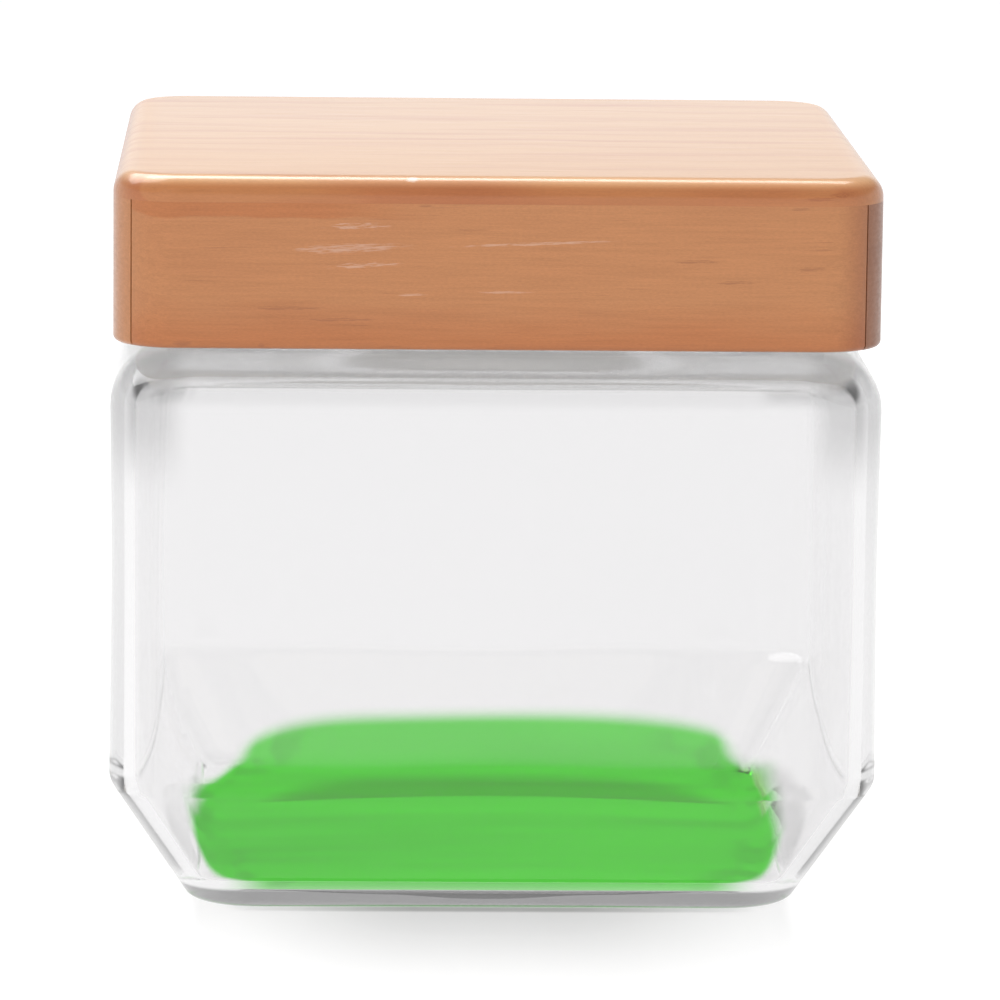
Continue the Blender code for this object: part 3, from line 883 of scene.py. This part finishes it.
board_pine, tree, shader, grain = fill_pine(
    "board_pine",
    0.0,
    Pith=(0, 150, -60),
    Early_wood=(0.77, 0.42, 0.195, 1),
    Late_wood=(0.63, 0.255, 0.115, 1),
    Ring_width=6.5,
    Ring_share=0.8,
    Fibre_share=0.22,
    Dash_share=0.2,
)
place = grain.inputs["Place"].links[0].from_socket
colour = paint_edge_shade(tree, grain, PAINTED_EDGE_SHADE)
colour = paint_marks(tree, place, EDGE_MARKS, EDGE_MARK_SHARE, colour, EDGE_MARK_COLOUR)
colour = paint_marks(tree, place, EDGE_PALE_SPOT, PALE_SPOT_SHARE, colour, PALE_SPOT_COLOUR)
tree.links.new(colour, shader.inputs["Base Color"])

# %% Rail woods
QUARTER = math.radians(90)
RAIL_GRAIN = dict(Pith=(0, 30, -130), Ring_width=5.0, Ring_share=0.2, Fibre_share=0.3, Dash_share=0.35)
RIGHT_LACQUER = 0.5
RED_SWAY_MM = 5.0
RED_LEVELS = (94.0, 101.0)
RED_UNDER_BOARD = (113.2, 113.8)
RED_UNDER_BOARD_END = (-30.0, -8.0)
RED_TONE = (0.93, 0.77, 0.62, 1)
DARK_END = (51.5, 56.5)
PAINTED_RIGHT_END_SHADE = (0.8, 0.7, 0.64, 1)
DARK_MARK_SHARE = 0.5
DARK_MARK_COLOUR = (0.3, 0.1, 0.04, 1)
SCUFF_SHARE = 0.34
SCUFF_COLOUR = (0.8, 0.56, 0.46, 1)

back_pine, *_ = fill_pine("rail_pine_back", 0.0, **RAIL_GRAIN)
left_pine, *_ = fill_pine("rail_pine_left", QUARTER, **RAIL_GRAIN)
# The right rail is a shaded copy of the rail pine: its darker colours are painted shade for the side that
# gets less light, and it has less lacquer.
shaded_right_pine, *_ = fill_pine(
    "rail_pine_right_shaded",
    QUARTER,
    RIGHT_LACQUER,
    Early_wood=(0.31, 0.12, 0.055, 1),
    Late_wood=(0.22, 0.08, 0.035, 1),
    **{**RAIL_GRAIN, "Ring_share": 0.6},
)
front_pine, tree, shader, grain = fill_pine("rail_pine_front", 0.0, **RAIL_GRAIN)
place = grain.inputs["Place"].links[0].from_socket
part = split_place(tree, place)
height = calc(tree, "MULTIPLY_ADD", streaks(tree, place, RIPPLE_GRAIN), RED_SWAY_MM, part["Z"])
under_board = ramp(tree, height, *RED_UNDER_BOARD)
under_board = multiply(tree, under_board, ramp(tree, part["X"], *RED_UNDER_BOARD_END, 1.0, 0.0))
red = calc(tree, "MAXIMUM", ramp(tree, height, *RED_LEVELS, 1.0, 0.0), under_board)
colour = mix_colours(tree, red, grain.outputs["Color"], RED_TONE, "MULTIPLY")
# Painted shade: the front rail darkens towards its right end.
colour = mix_colours(tree, ramp(tree, part["X"], *DARK_END), colour, PAINTED_RIGHT_END_SHADE, "MULTIPLY")
colour = paint_marks(tree, place, DARK_MARKS, DARK_MARK_SHARE, colour, DARK_MARK_COLOUR)
colour = paint_marks(tree, place, PALE_SCUFFS, SCUFF_SHARE, colour, SCUFF_COLOUR)
tree.links.new(colour, shader.inputs["Base Color"])

# Painted light: the inside pine is paler and greyer than the lacquered pine, so that the shaded hollow
# under the lid looks light grey through the glass.
bare_pine, *_ = fill_pine(
    "bare_pine",
    0.0,
    0.0,
    Pith=(0, 80, 10),
    Early_wood=(0.8, 0.76, 0.7, 1),
    Late_wood=(0.7, 0.64, 0.56, 1),
)

# %% [markdown]
# ### Board and rails
# The real lid is shaped after gluing, so the board and the four rails are all cut from one square
# block with round upright edges. The board is its top slice. Each rail is the front quarter of the
# lower slice, cut at the two mitres and at the inside of the frame, and then turned to its side. The
# mitre cuts are drawn back by half a glue line, which is the thin dark line at each end of the front.

# %% Rounded block
LID_CORNER = 10 * MM
CORNER_SEGMENTS = 28
LEVEL_SLACK = 0.01 * MM


def rounded_block(half, low, high):
    """A square block with round upright edges, on the centre line."""
    bm = bmesh.new()
    bmesh.ops.create_cube(bm, size=1)
    bmesh.ops.scale(bm, vec=(2 * half, 2 * half, high - low), verts=bm.verts)
    bmesh.ops.translate(bm, vec=(0, 0, (low + high) / 2), verts=bm.verts)
    upright = [e for e in bm.edges if abs(e.verts[0].co.z - e.verts[1].co.z) > (high - low) / 2]
    bmesh.ops.bevel(
        bm, geom=upright, offset=LID_CORNER, segments=CORNER_SEGMENTS,
        profile=0.5, affect="EDGES", material=-1,
    )
    return bm


def round_outline(bm, level, radius, segments):
    """Rounds the outline of the block at one level."""
    outline = [e for e in bm.edges if all(abs(v.co.z - level) < LEVEL_SLACK for v in e.verts)]
    bmesh.ops.bevel(
        bm, geom=outline, offset=radius, segments=segments, profile=0.5, affect="EDGES", material=-1
    )


# %% Board
board_low, board_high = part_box("lid_board")
LID_HALF = (board_high.x - board_low.x) / 2
BOARD_ROUND = 3.4 * MM
DOWNWARDS = -0.9
bm = rounded_block(LID_HALF, board_low.z, board_high.z)
round_outline(bm, board_high.z, BOARD_ROUND, 10)
bm.normal_update()
bare_inside(bm, lambda face: face.normal.z < DOWNWARDS)
board = finish_piece(bm, "board_skin", [board_pine, bare_pine], "lid", "lid_board")

# %% Rails
rail_low, rail_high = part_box("lid_rail_front")
INNER_HALF = LID_HALF - (rail_high.y - rail_low.y)
HALF_GLUE = 0.14 * MM
RAIL_EDGE = 0.9 * MM
UNDER_BOARD = 0.005 * MM
TOUCH = 0.001 * MM
INSIDE_SLACK = 0.1 * MM


def trim(bm, point, outward):
    """Cuts off what lies beyond a plane and closes the cut."""
    whole = bm.verts[:] + bm.edges[:] + bm.faces[:]
    cut = bmesh.ops.bisect_plane(
        bm, geom=whole, dist=TOUCH, plane_co=point, plane_no=outward, clear_outer=True
    )
    edges = [item for item in cut["geom_cut"] if isinstance(item, bmesh.types.BMEdge)]
    bmesh.ops.holes_fill(bm, edges=edges, sides=0)


for quarter, side in enumerate(("front", "right", "back", "left")):
    bm = rounded_block(LID_HALF, rail_low.z, board_low.z - UNDER_BOARD)
    round_outline(bm, rail_low.z, RAIL_EDGE, 5)
    for end in (-1, 1):
        outward = Vector((end, 1, 0)).normalized()
        trim(bm, -HALF_GLUE * outward, outward)
    trim(bm, Vector((0, -INNER_HALF, 0)), Vector((0, 1, 0)))
    spin = Matrix.Rotation(quarter * QUARTER, 3, "Z")
    bmesh.ops.rotate(bm, verts=bm.verts, cent=(0, 0, 0), matrix=spin)
    bmesh.ops.recalc_face_normals(bm, faces=bm.faces)
    wood = (front_pine, shaded_right_pine, back_pine, left_pine)[quarter]
    bm.normal_update()
    bare_inside(
        bm,
        lambda face: face.normal.z < DOWNWARDS
        or max(map(abs, face.calc_center_median()[:2])) < INNER_HALF + INSIDE_SLACK,
    )
    rail = finish_piece(bm, f"rail_skin_{side}", [wood, bare_pine], "lid", f"lid_rail_{side}")

# %% [markdown]
# ### Plug and seal
# The plug is turned on a lathe, and the seal is moulded in a round mould, so both are a profile spun
# round the jar's centre line. Their sharp edges are then bevelled a little: the plug's by hand with
# sandpaper on the real one, the seal's by the mould. The plug has a ledge at its foot that holds the
# seal up. The seal has a flange that lies on the rim and three ribs that press on the mouth.

# %% Turned pieces
SPIN_STEPS = 144


def turn_profile(points, closed):
    """Spins a profile of (radius, height) points round the jar's centre line."""
    bm = bmesh.new()
    verts = [bm.verts.new((radius, 0, level)) for radius, level in points]
    edges = [bm.edges.new(pair) for pair in zip(verts, verts[1:])]
    if closed:
        edges.append(bm.edges.new((verts[-1], verts[0])))
    bmesh.ops.spin(
        bm, geom=verts + edges, cent=(0, 0, 0), axis=(0, 0, 1), dvec=(0, 0, 0),
        angle=2 * math.pi, steps=SPIN_STEPS, use_merge=True,
    )
    bmesh.ops.remove_doubles(bm, verts=bm.verts, dist=TOUCH)
    bmesh.ops.recalc_face_normals(bm, faces=bm.faces)
    return bm


def ease_edges(bm, least_angle, radius, segments):
    """Rounds every edge that turns by more than an angle."""
    sharp = [e for e in bm.edges if e.is_manifold and e.calc_face_angle() > least_angle]
    bmesh.ops.bevel(
        bm, geom=sharp, offset=radius, segments=segments, profile=0.5, affect="EDGES", material=-1
    )


# %% Plug
plug_low, plug_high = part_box("lid_plug")
PLUG_FOOT = plug_high.x
PLUG_BODY = PLUG_FOOT - 1.5 * MM
PLUG_EDGE = 0.6 * MM
ledge = plug_low.z + 3 * MM
bm = turn_profile(
    [
        (0, plug_high.z), (PLUG_BODY, plug_high.z), (PLUG_BODY, ledge),
        (PLUG_FOOT, ledge), (PLUG_FOOT, plug_low.z), (0, plug_low.z),
    ],
    False,
)
ease_edges(bm, math.radians(50), PLUG_EDGE, 4)
plug = finish_piece(bm, "plug_turned", [bare_pine], "lid", "lid_plug")

# %% Seal profile
seal_low, seal_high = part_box("seal_ring")
FLANGE = seal_high.x
FLANGE_THICK = 1.4 * MM
SEAL_BORE = PLUG_BODY + 0.3 * MM
SEAL_WEB = SEAL_BORE + 1.4 * MM
SEAL_RIB = SEAL_WEB + 1.6 * MM
RIBS = 3
RIB_DROP = 0.35 * MM
RIB_ROOT = 0.65 * MM
RIB_TIP = (1.0 * MM, 0.4 * MM)
SEAL_EDGE = 0.15 * MM
seat = seal_high.z - FLANGE_THICK
profile = [(FLANGE, seal_high.z), (FLANGE, seat), (SEAL_WEB, seat)]
pitch = (seat - seal_low.z) / RIBS
for rib in range(RIBS):
    root = seat - pitch * (rib + 0.5) - RIB_DROP
    profile += [
        (SEAL_WEB, root + RIB_ROOT), (SEAL_RIB, root + RIB_TIP[0]),
        (SEAL_RIB, root + RIB_TIP[1]), (SEAL_WEB, root - RIB_ROOT),
    ]
profile += [(SEAL_WEB, seal_low.z), (SEAL_BORE, seal_low.z), (SEAL_BORE, seal_high.z)]
bm = turn_profile(profile, True)
ease_edges(bm, math.radians(30), SEAL_EDGE, 3)

# %% [markdown]
# Silicone is milky: light goes a little way in and comes back out. The seal is thin and stands in the
# shade of the lid, so a cloudy pale colour and a fine, matt grain are enough.

# %% Seal
MILK_THIN = (0.8, 0.81, 0.79, 1)
MILK_THICK = (0.88, 0.89, 0.87, 1)
MILK_RANGE = (0.3, 0.7)
MILK_GRAIN = (220, 220, 220)
MILK_ROUGHNESS = (0.42, 0.55)
MATT_GRAIN = (3000, 3000, 3000)
MATT_BUMP = 0.15
MATT_DEPTH = 0.05 * MM
MILK_SPECULAR = 0.35

silicone, tree, shader = new_material("milky_silicone")
place = own_place(tree)
cloud = streaks(tree, place, MILK_GRAIN, 3.0)
milk = mix_colours(tree, ramp(tree, cloud, *MILK_RANGE), MILK_THIN, MILK_THICK)
tree.links.new(milk, shader.inputs["Base Color"])
tree.links.new(ramp(tree, cloud, *MILK_RANGE, *MILK_ROUGHNESS), shader.inputs["Roughness"])
shader.inputs["Specular IOR Level"].default_value = MILK_SPECULAR
bump_from(tree, shader, streaks(tree, place, MATT_GRAIN), MATT_BUMP, MATT_DEPTH)
seal = finish_piece(bm, "seal_ribbed", [silicone], "lid", "seal_ring")

# %% [markdown]
# ## Studio
# The jar stands on a white table in a white room. The eye sees full white all round it. Mirrors and
# glass see white low down and a grey ceiling high up, and the rays that light the wood and the table
# see one plain level below white.

# %% Rays that look at the studio
def looking_rays(tree):
    """1 for camera, mirror and glass rays, 0 for the rays that gather light."""
    path = add(tree, "ShaderNodeLightPath").outputs
    through = calc(tree, "MAXIMUM", path["Is Glossy Ray"], path["Is Transmission Ray"])
    return calc(tree, "MAXIMUM", path["Is Camera Ray"], through), through


# %% World
LIGHT_LEVEL = 0.65
CEILING_GREY = 0.22
CEILING_RUN = (0.15, 0.4)

world = bpy.data.worlds.new("studio")
bpy.context.scene.world = world
world.use_nodes = True
tree = world.node_tree
looking, through = looking_rays(tree)
straight_look = calc(tree, "SUBTRACT", looking, through)
background = tree.nodes["Background"]
background.inputs["Color"].default_value = (1, 1, 1, 1)
up = split_place(tree, add(tree, "ShaderNodeTexCoord").outputs["Generated"])["Z"]
ceiling = ramp(tree, up, *CEILING_RUN, 1.0, CEILING_GREY)
ceiling = calc(tree, "MAXIMUM", ceiling, straight_look)
level = add(tree, "ShaderNodeMix", data_type="FLOAT")
put(tree, looking, level.inputs["Factor"])
put(tree, LIGHT_LEVEL, level.inputs["A"])
put(tree, ceiling, level.inputs["B"])
tree.links.new(level.outputs["Result"], background.inputs["Strength"])
print(world.name, "lights at", LIGHT_LEVEL)

# %% [markdown]
# The table is a large white disc. In the picture it is a clean white, with only a grey sheen in front
# of the foot and a narrow contact shade right under it. Both are painted on the table, in that place
# only, because the jar's glass lets the lamps through and so casts hardly any shadow of its own.

# %% Table
TABLE_RADIUS = 4
TABLE_DROP = 0.02 * MM
SHEEN = 0.32
SHEEN_RUN = (-105 * MM, -44 * MM)
SHEEN_SIDES = (10 * MM, 44 * MM)
SHEEN_AT_SIDES = 0.4
SHEEN_END = (45.5 * MM, 48.5 * MM)
CONTACT = 0.3
CONTACT_RUN = (-50 * MM, -48 * MM)
CONTACT_SIDES = (37 * MM, 43 * MM)
PAINT_LIGHTING = (0.8, 0.8, 0.8, 1)
PAINT_LOOKED_AT = (0.62, 0.62, 0.62, 1)
PAINT_THROUGH = (0.06, 0.06, 0.06, 1)
GLOW_LOOKED_AT = 0.6
GLOW_THROUGH = 0.32

bm = bmesh.new()
bmesh.ops.create_circle(bm, segments=96, radius=TABLE_RADIUS, cap_ends=True)
bmesh.ops.translate(bm, vec=(0, 0, -TABLE_DROP), verts=bm.verts)
mesh = bpy.data.meshes.new("floor")
bm.to_mesh(mesh)
bm.free()
floor = bpy.data.objects.new("floor", mesh)
bpy.context.scene.collection.objects.link(floor)

white, tree, shader = new_material("white_floor")
looking, through = looking_rays(tree)
part = split_place(tree, own_place(tree))
side = calc(tree, "ABSOLUTE", part["X"])
sheen = ramp(tree, part["Y"], *SHEEN_RUN, 0.0, SHEEN)
contact = ramp(tree, part["Y"], *CONTACT_RUN, 0.0, CONTACT)
sheen = calc(tree, "MULTIPLY_ADD", contact, ramp(tree, side, *CONTACT_SIDES, 1.0, 0.0), sheen)
sheen = multiply(tree, sheen, ramp(tree, side, *SHEEN_SIDES, 1.0, SHEEN_AT_SIDES))
sheen = multiply(tree, sheen, ramp(tree, side, *SHEEN_END, 1.0, 0.0))
sheen = multiply(tree, sheen, calc(tree, "LESS_THAN", part["Y"], 0.0))
bare = calc(tree, "SUBTRACT", 1.0, multiply(tree, sheen, calc(tree, "SUBTRACT", looking, through)))
paint = mix_colours(tree, looking, PAINT_LIGHTING, PAINT_LOOKED_AT)
paint = mix_colours(tree, through, paint, PAINT_THROUGH)
tree.links.new(scaled_colour(tree, paint, bare), shader.inputs["Base Color"])
shader.inputs["Roughness"].default_value = 0.6
shader.inputs["Emission Color"].default_value = (1, 1, 1, 1)
glow = calc(tree, "MULTIPLY_ADD", through, GLOW_THROUGH, multiply(tree, looking, GLOW_LOOKED_AT))
tree.links.new(multiply(tree, glow, bare), shader.inputs["Emission Strength"])
mesh.materials.append(white)
print(white.name, len(tree.nodes), "nodes")

# %% [markdown]
# One softbox above and behind lights the top of the lid, a second one only adds gloss to the lacquer,
# and a third at the front left lights the rails. No lamp is seen through the glass.

# %% Lamps
def softbox(name, place, target, width, height, watts):
    """A rectangular area lamp at a place, turned to a target."""
    lamp = bpy.data.lights.new(name, "AREA")
    lamp.shape = "RECTANGLE"
    lamp.size = width
    lamp.size_y = height
    lamp.energy = watts
    holder = bpy.data.objects.new(name, lamp)
    bpy.context.scene.collection.objects.link(holder)
    way = Vector(target) - Vector(place)
    holder.matrix_world = Matrix.Translation(place) @ way.to_track_quat("-Z", "Y").to_matrix().to_4x4()
    holder.visible_transmission = False
    return holder


softbox("softbox_top", (0, 0.4, 1.0), (0, 0, 0.1), 0.9, 0.35, 5.2)
gloss = softbox("softbox_gloss", (-0.4, 0.35, 0.85), (0, 0, 0.11), 0.9, 0.7, 8)
gloss.visible_diffuse = False
left = softbox("softbox_left", (-0.45, -1.2, 0.7), (0, 0, 0.06), 0.6, 0.6, 6)
left.visible_glossy = False
print(len(bpy.data.lights), "softboxes")

# %% View settings
bpy.context.scene.view_settings.view_transform = "Standard"
